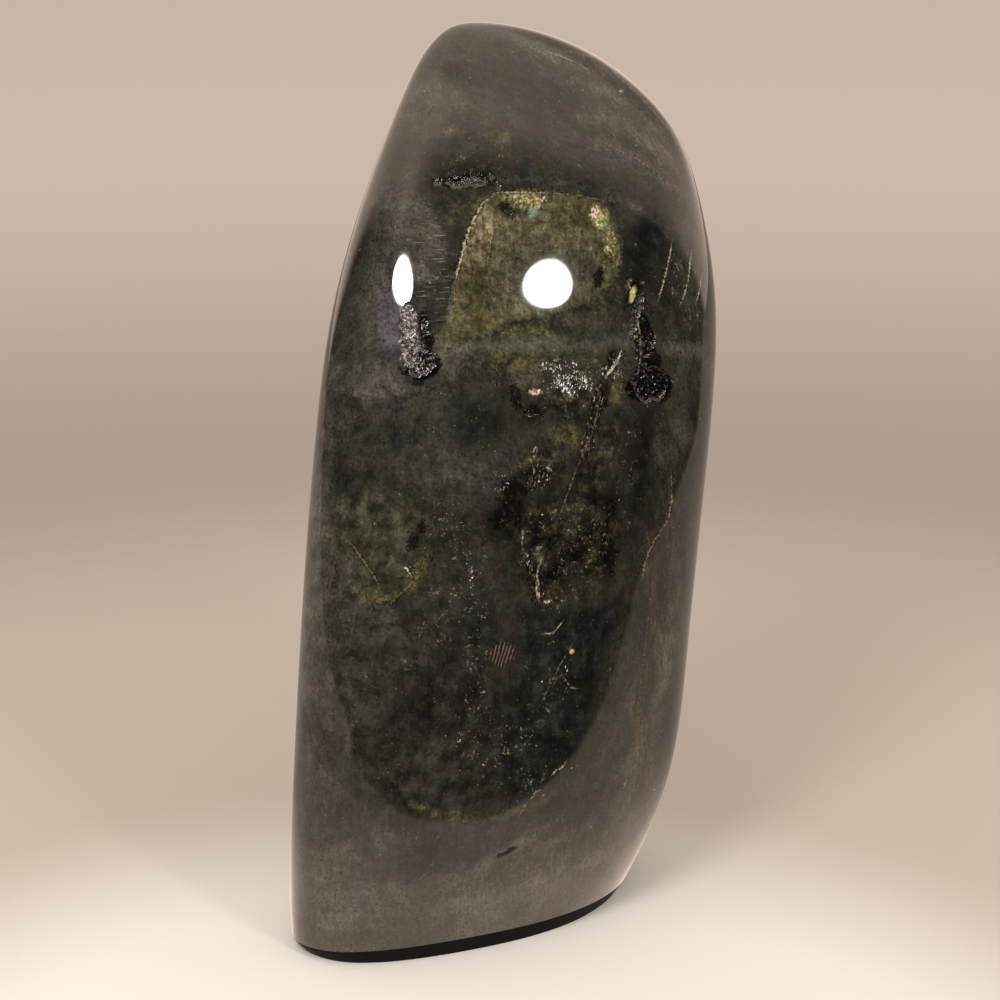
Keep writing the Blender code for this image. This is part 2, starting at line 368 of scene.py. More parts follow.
spots = {
    "greyFeldspar": [(-12.2, 83, 5, 3.4, -10), (-6.5, 99, 4.6, 7.5), (13.5, 91, 7, 2.8),
        (29, 91, 4.5, 6), (30.5, 70.8, 2, 2.2), (9.5, 99, 3, 2.6), (-1, 71, 4, 3), (-12, 92, 4.5, 9, 6),
        (-8, 104, 5, 4, 20), (-3, 117, 5, 5)],
    "footGrey": [(-16, 5, 9, 5), (-0.4, 4, 12, 5.5, 6), (13.5, 8, 8, 4, 20), (-5, 100.5, 4.4, 5),
        (-12, 82.6, 4.4, 1.6), (-10.8, 94, 1.6, 4), (32.6, 71, 0.9, 1.2)],
    "deep": [(8, 62.8, 3.2, 2.8), (26.6, 66, 1.8, 9, -6), (3.4, 76.6, 4, 2.8), (17.8, 76.6, 2.2, 1.8),
        (27.5, 98, 3, 5.5, -25), (-14.5, 99, 2.2, 5.6, -14), (21, 64.6, 3, 1.6), (9.6, 57, 1.8, 4),
        (3.6, 50, 2.2, 3.4), (11.7, 77.7, 2.4, 1.2)],
    "dusk": [(27, 72, 3, 8), (-2, 111, 6, 3.4), (-11.9, 18, 0.7, 1.8, 8), (-20.6, 24.3, 1.6, 1.2),
        (-16, 22.6, 1.4, 0.9), (-3, 15.6, 9, 3.4, 4), (12.4, 117.8, 6, 4), (3, 49, 4, 5)],
    "greenHaze": [(2, 110.4, 7, 3, 2), (0, 104, 3.5, 4), (11, 94, 14, 11), (-10, 61, 8, 9),
        (16, 60, 10, 9), (6, 84.4, 7, 3), (31, 90, 3, 8, 10), (-15, 86, 3, 5)],
    # grey laid over the gold round the right lamp's highlight: a painted glow of that highlight
    "goldGrey": [(17.6, 95.6, 3.4, 4.6, -10), (11, 97, 3.4, 3.6)],
    "goldStain": [(9.4, 104.6, 6, 1.3), (17.6, 102.6, 4.4, 2.4, -14), (21.8, 98, 1.6, 4.6),
        (2.6, 92.4, 1.5, 4, -6), (0.6, 88.4, 3, 1.2, 8), (8.4, 84.9, 3, 1.6), (9, 89, 4.4, 1.2),
        (21.5, 60.5, 1.8, 1.8), (14, 60.4, 2.6, 1.8), (16.2, 73.8, 1.4, 1.3), (18.6, 79.6, 1.2, 2, 10),
        (22.9, 79.6, 1, 2.2), (11.8, 54.6, 1.4, 2.6), (3.4, 92, 1.3, 4, -8), (9.8, 82.6, 1.6, 1.6)],
    "oliveArc": [(0.3, 114.3, 1, 0.5), (6.7, 113.2, 1, 0.5), (-4, 23.6, 1.6, 0.4, -20)],
    "topGlow": [(10.6, 105.2, 2.6, 0.8), (20.6, 102.6, 0.8, 1.2, 20), (22.4, 98.6, 0.7, 1.8, 10)],
    "rainbow": [(11.4, 103.7, 0.75, 0.6, -10), (21.4, 101.2, 0.5, 0.5)],
    "moss": [(12.6, 70.5, 3.6, 2.6), (1, 108.6, 6, 1.8, 2), (19.2, 68, 2.4, 3.6, -20),
        (22.2, 73, 1.4, 3, -20), (16, 79.4, 4, 2.4, -8), (10.8, 77.8, 2, 1.6)],
    "rust": [(21.7, 120.1, 1.8, 0.7, -24), (24.1, 117.7, 1, 0.8, -30), (19.6, 121.3, 1.2, 0.4, -14),
        (28.4, 110.6, 6.5, 0.4, -40), (31.2, 106, 4.5, 0.4, -58), (29.5, 44, 0.8, 14, 8),
        (27.4, 26, 0.9, 9, 12), (32, 52, 0.6, 9, 6), (14.5, 12.5, 9, 0.5, 14), (24, 12, 6, 1, 24)],
    "paleStreak": [(7.4, 15.6, 5.6, 1, 22), (15, 15.8, 4, 0.8, 20), (25, 20.5, 1.6, 8, -16),
        (-6, 11.4, 9, 1.5, 8), (30, 33, 1, 9, -8), (27, 9, 5, 2, 24), (32, 50.5, 0.8, 7, -6),
        (16, 122.7, 4.2, 0.35, -20), (-4.6, 100.2, 3.2, 4.4),
        (-12.6, 82, 4.6, 1.6), (10, 82, 2, 1.4), (-0.6, 84.6, 3, 1.4), (-15.4, 57, 1.4, 2.6),
        (-12.8, 51.5, 3, 1.4), (29.8, 70, 1.4, 2.2)],
    # a violet tint, and under and beside the left lamp's highlight a painted glow of that highlight
    "violet": [(-8.6, 89.6, 1.6, 4.6, 6), (-4.8, 85.4, 2.4, 2.8), (-13.1, 10.6, 1.2, 1.6)],
    "blackGrain": [(8.2, 65.6, 1.7, 1.4), (6.6, 63.6, 1.4, 1.2), (9.3, 63.7, 1, 1.6),
        (11.3, 77.7, 1.3, 0.9), (8.8, 80.4, 0.8, 2, 20), (-5.1, 61.4, 0.8, 1.3, -20),
        (-4.3, 63.2, 0.6, 0.8), (8.4, 67.4, 2, 1.4), (21.8, 57, 1, 4, 4), (17, 57.6, 2.2, 1.3),
        (21, 78.4, 0.9, 3.4, -16), (22.9, 84.4, 1, 0.7), (7.4, 104.2, 1, 0.9), (20.8, 94.7, 0.7, 1.2),
        (-12.6, 103.2, 0.4, 0.8), (11.3, 54.6, 0.9, 3, 10), (22.8, 63.8, 0.9, 1.6),
        (19.6, 60.6, 1.6, 0.8, 20), (25.5, 91.8, 0.95, 1.9, -16), (-4.4, 83.6, 2.2, 1.4, 10),
        (11.6, 61.4, 1.2, 2, 30), (14.4, 55.4, 1.2, 1)],
    "splinters": [(12.2, 69, 1.9, 1.7, 10), (26.3, 84.6, 0.4, 1.3, -4), (6.4, 83, 0.4, 2)],
    "torn": [(26.4, 89.4, 0.5, 3, -14), (2.2, 107.9, 4.2, 0.5, 2)],
    "chips": [(20.1, 103, 0.6, 0.7, 24), (11.6, 72.3, 0.3, 0.5), (13.4, 51.2, 0.7, 0.35),
        (12, 53.2, 0.15, 1, 5), (9.9, 60.9, 0.2, 0.8), (11.7, 80.3, 1.25, 0.5, -10),
        (24.1, 117.7, 0.4, 0.35)],
    "yellowChip": [(25.5, 91.9, 0.5, 1.1, -16), (16.9, 43.7, 0.35, 0.35)],
    "sparkle": [(16.2, 81.6, 6.4, 4.2, -8), (2.2, 57.6, 3, 6, 6), (3, 44, 2, 12, -5), (9, 31, 4, 3.6),
        (16, 58, 6, 7), (-1.6, 92, 1.8, 2.4), (1, 52, 3.4, 3), (-1.4, 66, 1.6, 3.6), (3.6, 31, 2, 6),
        (21, 62, 1.6, 3), (12, 54, 1.4, 5, 12), (-2, 52, 3, 5), (12.5, 26, 5, 2.4, 10),
        (21.8, 99, 2.4, 4.4, 10), (15.4, 39.5, 1.6, 5, -20), (10, 104.2, 5, 1.2), (12, 70, 3.4, 2.4),
        (33.5, 91, 2.2, 6, 8), (-3.4, 95.6, 2.4, 4), (6.4, 89, 2, 1.6),
        (2.5, 109.5, 5, 2), (-6, 57.2, 1.2, 1.4), (26.6, 86, 1.4, 6, -14), (-5, 86, 2, 4, 10),
        (24.5, 69, 1.4, 6, -10)],
    "glint": [(21.9, 98.6, 1.4, 2.4, 10), (2.4, 57, 1, 3, 6), (10.6, 105.3, 3, 0.5),
        (12.4, 68.6, 2.2, 1.2), (-4.6, 83.8, 1.6, 0.8), (-5.9, 57, 0.7, 0.7), (1, 60.6, 1.2, 1.2),
        (2.6, 101.2, 0.5, 2.8, -16), (22.6, 83.2, 0.9, 1.6, -30), (11.4, 56, 0.6, 2.4, 8),
        (12.6, 52.6, 1.4, 0.6, 10), (18.6, 76.6, 0.5, 1, -16), (7.6, 66, 0.5, 1.6), (16.2, 41, 1, 1.8, -20),
        (1, 33, 0.8, 1.6)],
    "striae": [(-2.6, 97, 3, 5), (-1.8, 91, 2, 2)],
    "hatching": [(6.8, 44.8, 1.8, 1.5, 8)],
}

# Thin seams, each with its half width, its tone (0 is dark, 0.5 tan and 1 near white) and its points.

seamLines = [
    (0.14, 0.8, [(6, 106.1), (4.3, 105.1), (3, 103.1), (1.9, 100.7), (1.4, 98.7), (0.8, 96.7),
        (0.3, 94.7)]),
    (0.09, 0.6, [(0.3, 94.7), (0.4, 93), (0, 91.4)]),
    (0.11, 0.7, [(6.1, 106.3), (8.4, 106.3), (13.2, 106)]),
    (0.08, 0.5, [(13.2, 106), (17.9, 105.4), (20.9, 104.6)]),
    (0.09, 0.85, [(13.2, 105.8), (12.3, 104.5), (11.8, 103.6)]),
    (0.08, 0.65, [(5.9, 101.9), (5.4, 100.2), (5.2, 99.1), (4.9, 97.5)]),
    (0.07, 0.45, [(10.2, 98.1), (11.3, 98.8), (13.9, 98.5)]),
    (0.09, 0.75, [(31.3, 97.9), (31, 96.2), (30.5, 94.4), (29.9, 92.5), (29.3, 90.6)]),
    (0.1, 0.6, [(31.6, 95.2), (32.5, 93.6)]),
    (0.08, 0.8, [(34.2, 95.8), (34, 94.1), (33.7, 92.3), (33.4, 91.2)]),
    (0.1, 0.7, [(33.5, 91.9), (33.1, 90.4), (32.5, 89.4)]),
    (0.09, 0.8, [(35.7, 91.7), (35.4, 90.2), (34.9, 88.9)]),
    (0.15, 0.38, [(-12.8, 54.3), (-10.3, 53.1), (-8.6, 53), (-4.7, 56.5), (-3.4, 60)]),
    (0.12, 0.42, [(-15, 61.7), (-13.1, 59.6), (-10.7, 56.4), (-9.9, 54.6)]),
    (0.08, 0.3, [(-15, 61.7), (-16, 58), (-16.8, 54)]),
    (0.22, 0.9, [(23.8, 84.5), (22.9, 82.7), (21.7, 81.5)]),
    (0.09, 0.45, [(20.8, 78.4), (20, 75.1), (19, 72.4), (17.7, 69.9), (15.6, 64.6), (14.6, 62)]),
    (0.1, 0.45, [(23.8, 82.7), (24, 80.7), (23.7, 78.7)]),
    (0.12, 0.6, [(31.2, 66.5), (31.4, 62), (30.9, 59.3), (28.9, 57), (27.5, 54.5), (27, 51.7)]),
    (0.11, 0.55, [(26.1, 88.7), (26.6, 86.4), (26.7, 84.1), (26.4, 81.7)]),
    (0.2, 0.05, [(-2.2, 107.9), (1.1, 108.3), (3.9, 108), (6.3, 107.1)]),
    (0.08, 0.45, [(17.3, 45.3), (15.2, 42.1), (13.5, 38.8), (12.4, 36.8)]),
    (0.09, 0.6, [(15.9, 40), (16.6, 38.6), (17.6, 38.2)]),
    (0.1, 0.6, [(11, 22.9), (11.8, 24), (13.1, 24.2)]),
    (0.11, 0.7, [(14, 26), (14.7, 26.7), (15.5, 26.8), (16.1, 27.6)]),
    (0.1, 0.55, [(9.4, 20.9), (10.4, 22.4)]),
    (0.1, 0.55, [(24.4, 20.6), (25.3, 22.4), (25.9, 23.6)]),
    (0.13, 0.1, [(5.6, 14.8), (7.4, 15.3), (9.4, 16.2)]),
    (0.12, 0.38, [(15.3, 123.8), (21.1, 121.8), (26.9, 116.8), (31.3, 111.8), (33.5, 107.1)]),
    (0.1, 0.42, [(20.9, 112.2), (26.7, 109.1), (31.1, 105.2)]),
    (0.1, 0.5, [(12.1, 124.2), (16, 122.7), (20.1, 120.7)]),
    (0.06, 0.36, [(29, 54.1), (28, 45.5), (26.9, 35.4), (25.5, 25.1)]),
    (0.06, 0.36, [(31.5, 53), (30.5, 41.4), (28.8, 29.8)]),
    (0.1, 0.95, [(-7, 58), (-6.3, 57.7), (-5.8, 56.9)]),
    (0.11, 0.7, [(12.6, 57.6), (11.9, 55.4), (12.2, 53.4)]),
    (0.09, 0.75, [(15.5, 48.2), (14.2, 46.8), (12.9, 46.9)]),
    (0.08, 0.4, [(17.2, 73.9), (16.9, 74.6), (16.2, 74.8), (15.6, 74.4), (15.5, 73.6), (15.9, 73),
        (16.6, 73), (17.2, 73.7)]),
]
seams = {
    "nearby": 0.45,  # how far from a seam its colour may reach
    "finer": 2,
    "waver": (9.0, -3.6),  # the half width is scaled by the first times the fine grain, plus the second
    "gaps": (0.42, 0.52, 0.25, 1.0),  # where the crumb is low little of the seam is left
    "edge": (-0.05, 0.07, 0.0, 0.85),
    "shadeWidth": 5.0,  # how many half widths the dark beside a seam reaches
    "shadeEdge": (-0.04, 0.1, 0.0, 0.55),
    "shade": "#0b0a09",
    "tones": "0 #060606, 0.3 #54452f, 0.6 #8c7e58, 1 #ebe3cc",
}


def lineReach(x, z, points):
    # distance to a line, the same with a sign for its two sides, and how far along it (0 to 1) that is
    distance, side, share = np.full(len(x), 99.0), np.full(len(x), 99.0), np.zeros(len(x))
    lengths = [math.dist(a, b) for a, b in zip(points, points[1:])]
    gone = 0.0
    for (x0, z0), (x1, z1), length in zip(points, points[1:], lengths):
        runX, runZ = (x1 - x0) / length, (z1 - z0) / length
        along = np.clip((x - x0) * runX + (z - z0) * runZ, 0, length)
        away = np.hypot(x - x0 - along * runX, z - z0 - along * runZ)
        closer = away < distance
        side = np.where(closer, (x - x0) * runZ - (z - z0) * runX, side)
        share = np.where(closer, (gone + along) / sum(lengths), share)
        distance = np.minimum(distance, away)
        gone += length
    return distance, side, share


def outlineReach(x, z, points):
    # how far inside a closed outline each point lies
    closed = points + points[:1]
    inside = np.zeros(len(x), bool)
    for (x0, z0), (x1, z1) in zip(closed, closed[1:]):
        if z0 != z1:
            inside ^= ((z0 > z) != (z1 > z)) & (x < x0 + (z - z0) * (x1 - x0) / (z1 - z0))
    nearest = lineReach(x, z, closed)[0]
    return np.where(inside, nearest, -nearest)


def markReaches(x, z):
    # how far inside each mark every point lies
    shapes = [(name, outlineReach(x, z, points)) for name, points in areas]
    shapes += [(name, halfWidth - lineReach(x, z, points)[0]) for name, halfWidth, points in bands]
    shapes += [(name, spotReach(x, z, *spot)) for name, group in spots.items() for spot in group]
    reaches = {}
    for name, reach in shapes:
        reaches[name] = np.maximum(reaches.get(name, -20.0), reach)
    return reaches


def seamReach(x, z):
    # for the nearest seam: signed distance, distance, half width there and tone
    nearest = [np.full(len(x), 9.0), np.full(len(x), 9.0), np.zeros(len(x)), np.zeros(len(x))]
    for halfWidth, tone, points in seamLines:
        distance, side, share = lineReach(x, z, points)
        width = halfWidth * (1 - (2 * share - 1) ** 4)
        closer = distance < nearest[1]
        found = (side, distance, width, tone)
        nearest = [np.where(closer, new, old) for new, old in zip(found, nearest)]
    return nearest


# The far side isn't in the photograph: it carries the same kinds of marks, turned round about this point.
# A side's marks fade in as the normal turns towards it, from the first number to the second.

farSide = {"middleX": 8.0, "middleZ": 63.0, "frontFade": (0.02, 0.2), "backFade": (0.15, 0.45), "away": 20}
seamValues = ["seamSide", "seamDistance", "seamWidth", "seamTone"]


def markStone(mesh, sunk):
    points, normals, _ = meshPoints(mesh)
    front = smoothStep(-normals[:, 1], *farSide["frontFade"])
    back = smoothStep(normals[:, 1], *farSide["backFade"])
    x, z = points[:, 0], points[:, 2]
    farX, farZ = 2 * farSide["middleX"] - x, 2 * farSide["middleZ"] - z
    values = {"pitDepth": sunk}
    near, far = markReaches(x, z), markReaches(farX, farZ)
    for name in near:
        values[name] = np.maximum(
            near[name] - farSide["away"] * (1 - front), far[name] - farSide["away"] * (1 - back)
        )
    onFront = front > back
    for name, nearValue, farValue in zip(seamValues, seamReach(x, z), seamReach(farX, farZ)):
        values[name] = np.where(onFront, nearValue, farValue)
    values["seamWidth"] *= np.where(onFront, front, back)
    for name, numbers in values.items():
        mesh.attributes.new(name, "FLOAT", "POINT").data.foreach_set("value", numbers.astype(np.float32))


# Labradorite, hand-polished on felt: a dark glassy face with depth, in which grains, cleavage flashes
# and healed cracks show. Sizes are millimetres.

labradorite = {
    "warpLength": 14.0,
    "warp": 5.0,
    "fibreStretch": 8.0,  # how many times as long as wide
    "splinterStretch": 1.1 / 0.26,
    "splinterLean": -16.0,
    "layerMiddle": (-8.0, 53.0),  # thin layers run in rings about this point
    "layerStretch": 7.0,
    "layersFrom": (26.0, 44.0),  # where they begin to show, and show in full
    "noises": {  # where each is read, and its length, detail and roughness
        "clouds": ("bent", 15.0, 3.0, 0.5),
        "tint": ("bent", 6.0, 3.0, 0.6),
        "mottle": ("bent", 2.2, 4.0, 0.55),
        "fine": ("straight", 0.42, 3.0, 0.7),
        "fibre": ("drawnOut", 0.5, 3.0, 0.6),
        "crumb": ("straight", 0.9, 4.0, 0.75),
        "patches": ("straight", 1.9, 5.0, 0.72),
        "grit": ("straight", 0.45, 3.0, 0.7),
        "layers": ("layered", 2.0, 3.0, 0.6),
        "pepper": ("elsewhere", 0.6, 3.0, 0.6),
        "splinter": ("leaning", 0.26, 2.0, 0.6),
    },
    "hatchWidth": 0.5,
    "chipSize": 0.8,
    "nudge": 1.3,  # how far the fine grain moves a chip's edge
    "tints": "0.34 #20231f, 0.43 #302c26, 0.49 #2a2b1f, 0.55 #342e2b, 0.62 #272924, 0.7 #39342c",
    "contrast": {"clouds": 0.9, "streaks": 0.6, "mottle": 0.35, "patches": 0.3, "fibre": 0.5, "fine": 1.0},
    "polish": 0.04,
    "ior": 1.56,
    "tornRoughness": 0.1,
    "tornFrom": (0.01, 0.1),  # how deep a pit begins to be rough, and is in full
    "crushed": (-0.8, 0.2, 0.5, 1.0),  # away from a pit's grey side the facets are half as rough
    "facetSize": 0.3,
    "facetRelief": 0.1,
}

# What is laid over the base, in order: mark, softness and raggedness of its edge, amount, texture, colours.
zones = [
    ("greyFeldspar", 2.6, 3, 0.7, "mottle", "0.35 #302d28, 0.5 #38352f, 0.65 #413e37"),
    ("footGrey", 3, 3, 0.8, "clouds", "0.35 #3b3932, 0.5 #444039, 0.65 #4e4842"),
    ("dusk", 2.4, 3, 0.75, "mottle", "0.35 #191918, 0.52 #22211d, 0.68 #2c2b27"),
    ("greenHaze", 3, 5, 0.5, "mottle", "0.35 #1f2016, 0.5 #2a2a1e, 0.65 #363628"),
    ("deep", 1.4, 2.6, 0.85, "mottle", "0.35 #101211, 0.52 #171a18, 0.68 #222622"),
    ("oliveFlash", 0.8, 1.6, 0.6, "mottle", "0.38 #302f24, 0.5 #3e3b2d, 0.62 #4c493a"),
    ("oliveArc", 0.8, 1.2, 0.65, "patches", "0.36 #36341f, 0.5 #4f4b2d, 0.64 #6b6541"),
    ("goldFlash", 0.5, 1.2, 0.88, "patches",
     "0.34 #343222, 0.43 #444030, 0.5 #504b38, 0.57 #5e5843, 0.68 #777056"),
    ("goldFlash", 0.5, 1.2, 0.3, "fibre", "0.34 #2a2c1c, 0.5 #514b37, 0.66 #8f8162"),
    ("goldFlash", 0.5, 1.2, 0.35, "crumb", "0.34 #201e15, 0.5 #514b37, 0.66 #9a8f72"),
    ("tanColumn", 0.4, 0.8, 0.7, "fibre", "0.36 #52452f, 0.5 #74644c, 0.64 #9a8a6c"),
    # painted glow: grey over the gold round the right lamp's highlight
    ("goldGrey", 1.6, 3, 0.55, "mottle", "0.36 #2c2b24, 0.5 #3f3c33, 0.64 #534f43"),
    ("goldStain", 1.2, 3.5, 0.75, "patches", "0.38 #26251a, 0.47 #3a3722, 0.55 #4f4a2c, 0.66 #6e6740"),
    ("moss", 0.7, 4, 0.9, "patches",
     "0.34 #0c0c0b, 0.44 #1a1915, 0.5 #25231b, 0.56 #312e21, 0.63 #403c2a, 0.72 #5c563c"),
    ("rust", 0.6, 1.6, 0.5, "fibre", "0.35 #392d25, 0.65 #5a4a3b"),
    ("paleStreak", 0.9, 2, 0.5, "tint", "0.35 #3f3b33, 0.65 #605950"),
    ("paleBand", 1, 0.9, 0.7, "tint", "0.38 #48463a, 0.62 #5f5c4f"),
    # painted highlight along the lower edge of the reflected pale room
    ("lavender", 0.5, 0.9, 0.3, "patches", "0.38 #3a3638, 0.62 #5d575a"),
    # a violet tint that is also the painted glow below the left lamp's highlight
    ("violet", 1.4, 2, 0.6, "tint", "0.38 #38333a, 0.62 #58515a"),
    ("topGlow", 0.5, 2, 0.8, "grit", "0.38 #554b2c, 0.5 #857846, 0.58 #b7ab78, 0.68 #f4ecd0"),
    ("blackGrain", 0.25, 3.4, 0.9, "crumb", "0.4 #050505, 0.56 #0e0d0d, 0.66 #221f1e"),
    ("splinters", 0.3, 2, 0.8, "splinter",
     "0.4 #080707, 0.5 #191612, 0.58 #3a3226, 0.64 #6d5f49, 0.72 #bba98d"),
    ("torn", 0.2, 2, 0.95, "grit", "0.44 #040304, 0.56 #0b090a, 0.63 #1f1a1a, 0.68 #433934, 0.75 #8c8077"),
    # grey torn grain whose pale speckles are painted glints of the left lamp
    ("tornGrey", 0.3, 1.2, 0.9, "grit", "0.38 #1a1716, 0.47 #3a3431, 0.54 #6b615a, 0.62 #b3a89f"),
    ("rainbow", 0.25, 0.8, 0.6, "chip",
     "0.15 #a8843e, 0.35 #6b8f5c, 0.55 #5fa9a4, 0.75 #547ea6, 0.9 #d8d2ae"),
    ("chips", 0.15, 0.6, 0.85, "splinter", "0.36 #5d4437, 0.5 #a07a62, 0.62 #f0dccb"),
    ("hatching", 0.3, 2.8, 0.85, "hatch", "0.3 #1f1814, 0.62 #2e241d, 0.8 #48382f, 0.95 #75594c"),
    ("yellowChip", 0.12, 0.2, 0.95, "fibre", "0.38 #a2954c, 0.62 #dfd391"),
]

# Specks, the peaks of a texture: its name, the levels where they begin to show and show in full, the mark,
# how much higher the levels are away from it, so that few show there, the amount and the colours.
specks = [
    ("pepper", 0.63, 0.68, "greyFeldspar", 0.02, 0.65, ("#0b0b0a", "#161411")),
    ("grit", 0.595, 0.69, "sparkle", 0.075, 0.7, ("#4c4838", "#aaa28b")),
    ("splinter", 0.55, 0.63, "glint", 0.5, 0.95, ("#66625a", "#fbf8f1")),
]

# Small grains. cell is their spacing and half their half size, each along X, Y and Z; share is how many
# cells hold one away from the mark, and gain how many more do inside it. Those with no lean lie anyhow.
grains = [
    {"cell": (1.4, 1.4, 1.4), "half": (0.22, 0.12, 0.12), "share": 0.006, "mark": "sparkle", "gain": 0.07,
     "colours": ("#857c65", "#d8d0ba"), "amount": 0.9},
    {"cell": (2.6, 0.9, 0.4), "half": (1.1, 0.3, 0.05), "share": 0.0, "mark": "striae", "gain": 0.75,
     "colours": ("#5b564c", "#a29b8e"), "amount": 0.6, "lean": 3.0},
]

# How ragged and how soft the bounds of specks and of grains are, how much the specks lie in patches, the
# shift from one kind of grain to the next, and between which radii a grain ends.
scatter = {"specks": (6.0, 1.2), "grains": (8.0, 1.5), "patchy": 0.6, "shift": (17.3, 5.1, 9.7),
           "grainEdge": (0.6, 1.15)}


def stoneTextures(add, place):
    look = labradorite
    # the same places bent, so that the clouds run like flow in rock
    bend = add("TexNoise", {"Vector": place, "Scale": 1 / look["warpLength"], "Detail": 2.0})
    offset = add("VectorMath SUBTRACT", [bend.outputs["Color"], (0.5,) * 3])
    bent = add("VectorMath MULTIPLY_ADD", [offset, (look["warp"],) * 3, place])
    lean = math.radians(look["splinterLean"])
    leaning = add("VectorRotate", {"Vector": place, "Axis": (0, 1, 0), "Angle": lean})
    leaning = add("VectorMath DIVIDE", [leaning, (1, 1, look["splinterStretch"])])
    middleX, middleZ = look["layerMiddle"]
    inPlane = add("VectorMath MULTIPLY", [bent, (1, 0, 1)])
    outwards = add("VectorMath DISTANCE", [inPlane, (middleX, 0, middleZ)])
    along = add("VectorMath DIVIDE", [place, (look["layerStretch"],) * 3])
    places = {
        "straight": place,
        "bent": bent,
        "drawnOut": add("VectorMath DIVIDE", [bent, (1, 1, look["fibreStretch"])]),
        "layered": add("VectorMath ADD", [add("CombineXYZ", [outwards]), along]),
        "elsewhere": add("VectorMath ADD", [place, (31.0, 47.0, 23.0)]),
        "leaning": leaning,
    }
    textures = {
        name: add("TexNoise", {"Vector": places[where], "Scale": 1 / length, "Detail": detail,
                               "Roughness": roughness})
        for name, (where, length, detail, roughness) in look["noises"].items()
    }
    mottle, fine = textures["mottle"], textures["fine"]
    shown = add("MapRange SMOOTHSTEP", [outwards, *look["layersFrom"]])
    textures["streaks"] = add("Mix FLOAT", {0: shown, 2: mottle, 3: textures["layers"]})
    hatchScale = 2 * math.pi / 20 / look["hatchWidth"]  # the wave repeats 20 times in 2 pi
    hatch = {"Vector": leaning, "Scale": hatchScale, "Distortion": 3.0, "Detail": 2.0}
    textures["hatch"] = add("TexWave", hatch)
    nudge = add("VectorMath SUBTRACT", [fine.outputs["Color"], (0.5,) * 3])
    nudged = add("VectorMath MULTIPLY_ADD", [nudge, (look["nudge"],) * 3, place])
    chips = add("TexVoronoi", {"Vector": nudged, "Scale": 1 / look["chipSize"]})
    textures["chip"] = add("SeparateColor", [chips.outputs["Color"]]).outputs["Red"]
    textures["ragged"] = add("Math MULTIPLY_ADD", [add("Math ADD", [mottle, fine]), 0.5, -0.5])
    return textures


def paintZones(add, colour, textures, within):
    for mark, soft, ragged, amount, texture, stops in zones:
        mask = within(mark, 2 * ragged, soft, 0.0, amount)
        paint = setRamp(add("ValToRGB", [textures[texture]]), stops)
        colour = add("Mix RGBA", {0: mask, 6: colour, 7: paint})
    return colour


def shaded(add, colour, textures):
    # feldspar and pyroxene too small to tell apart: every texture lightens and darkens the rock a little
    level = 1.0
    for name, power in labradorite["contrast"].items():
        doubled = add("Math MULTIPLY", [textures[name], 2.0])
        level = add("Math MULTIPLY", [level, add("Math POWER", [doubled, power])])
    return add("VectorMath SCALE", {0: colour, "Scale": level})


def layTwoColours(add, colour, strength, lightness, colours):
    dark, light = (linear(code) for code in colours)
    paint = add("Mix RGBA", {0: lightness, 6: dark, 7: light})
    return add("Mix RGBA", {0: strength, 6: colour, 7: paint})


def paintSpecks(add, colour, textures, within):
    patchy = scatter["patchy"]
    for texture, low, high, mark, rise, amount, colours in specks:
        crowded = add("Math MULTIPLY_ADD", [textures["patches"], patchy, textures[texture]])
        raised = within(mark, *scatter["specks"], rise + patchy / 2, patchy / 2)
        level = add("Math SUBTRACT", [crowded, raised])
        strength = add("MapRange SMOOTHSTEP", [level, low, high, 0.0, amount])
        lightness = add("MapRange", [level, low, 2 * high - low])
        colour = layTwoColours(add, colour, strength, lightness, colours)
    return colour


def paintGrains(add, colour, place, within):
    # each grain is an ellipsoid in its own cell of a Voronoi pattern
    for index, grain in enumerate(grains):
        places = add("VectorMath ADD", [place, index * Vector(scatter["shift"])])
        if "lean" in grain:
            lean = math.radians(grain["lean"])
            places = add("VectorRotate", {"Vector": places, "Axis": (0, 1, 0), "Angle": lean})
        inCells = add("VectorMath DIVIDE", [places, grain["cell"]])
        cells = add("TexVoronoi", {"Vector": inCells, "Scale": 1.0})
        local = add("VectorMath SUBTRACT", [inCells, cells.outputs["Position"]])
        local = add("VectorMath MULTIPLY", [local, grain["cell"]])
        if "lean" not in grain:
            turn = add("VectorMath MULTIPLY", [cells.outputs["Color"], (math.pi,) * 3])
            local = add("VectorRotate", {"Vector": local, "Rotation": turn}, rotation_type="EULER_XYZ")
        size = add("VectorMath LENGTH", [add("VectorMath DIVIDE", [local, grain["half"]])])
        body = add("MapRange SMOOTHSTEP", [size, *scatter["grainEdge"], grain["amount"], 0.0])
        draw = add("SeparateColor", [cells.outputs["Color"]]).outputs
        share = within(grain["mark"], *scatter["grains"], grain["share"], grain["share"] + grain["gain"])
        strength = add("Math MULTIPLY", [body, add("Math LESS_THAN", [draw["Red"], share])])
        colour = layTwoColours(add, colour, strength, draw["Green"], grain["colours"])
    return colour


